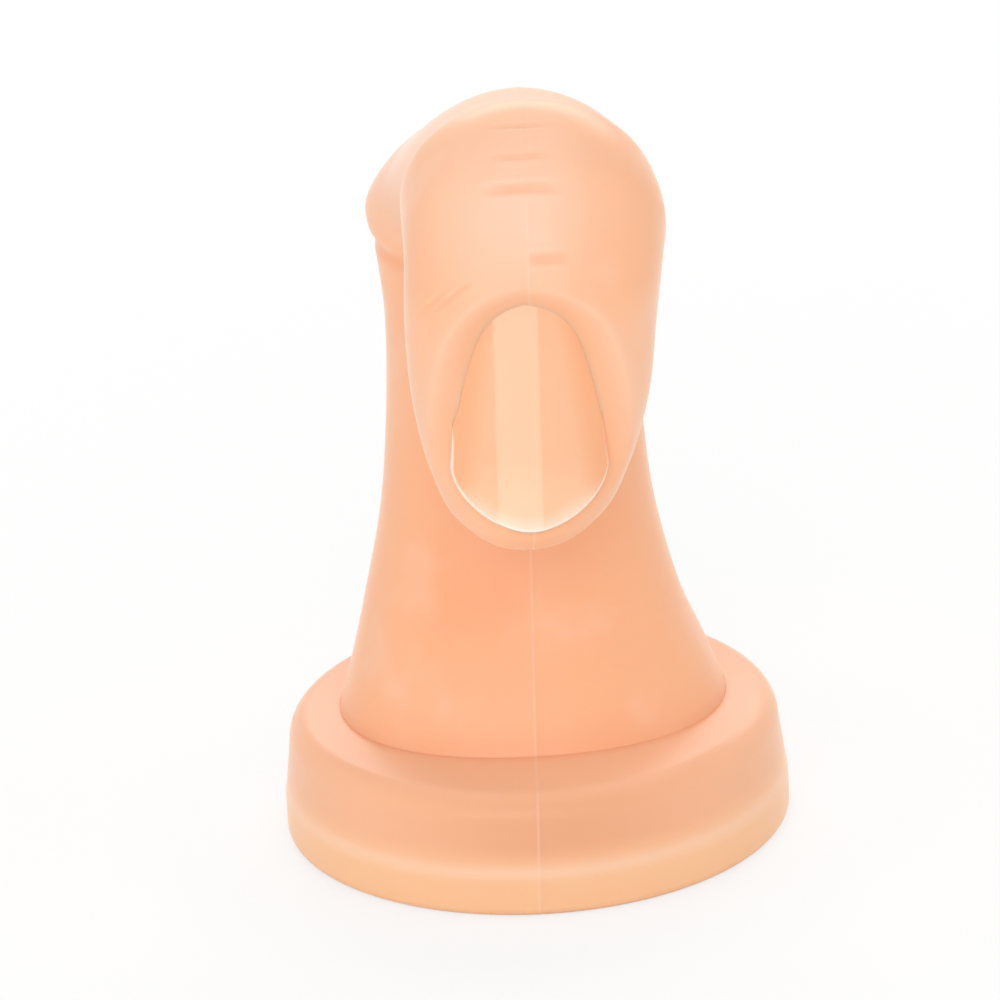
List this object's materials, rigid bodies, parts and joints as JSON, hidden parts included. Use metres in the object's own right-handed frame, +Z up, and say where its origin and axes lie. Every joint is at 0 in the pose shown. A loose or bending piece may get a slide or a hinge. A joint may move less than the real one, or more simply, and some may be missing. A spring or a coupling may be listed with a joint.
{
  "type": "nail practice finger",
  "caption": "Soft practice finger bent over on a round plinth, with a nail bed and a pocket under the cuticle that hold a removable curved nail tip for painting and shaping practice",
  "frame": {"origin": "centre of the plinth's flat underside", "axes": "+Z up, the longest extent, square to the underside; the nail faces -Y; +X is to the right of someone looking at the nail"},
  "size_m": [0.03, 0.0314, 0.048],
  "materials": {
    "skin_rubber": "satin, translucent, skin tone",
    "nail_plastic": "high gloss, translucent, paler at the free edge"
  },
  "bodies": {
    "finger": {"finger": "skin_rubber"},
    "nail_tip": {"nail_tip": "nail_plastic"}
  },
  "joints": [
    {"name": "nail_slide", "type": "slide", "parent": "finger", "child": "nail_tip", "axis": [-0.0259, -0.3328, -0.9426], "range_m": [0, 0.0165]}
  ]
}
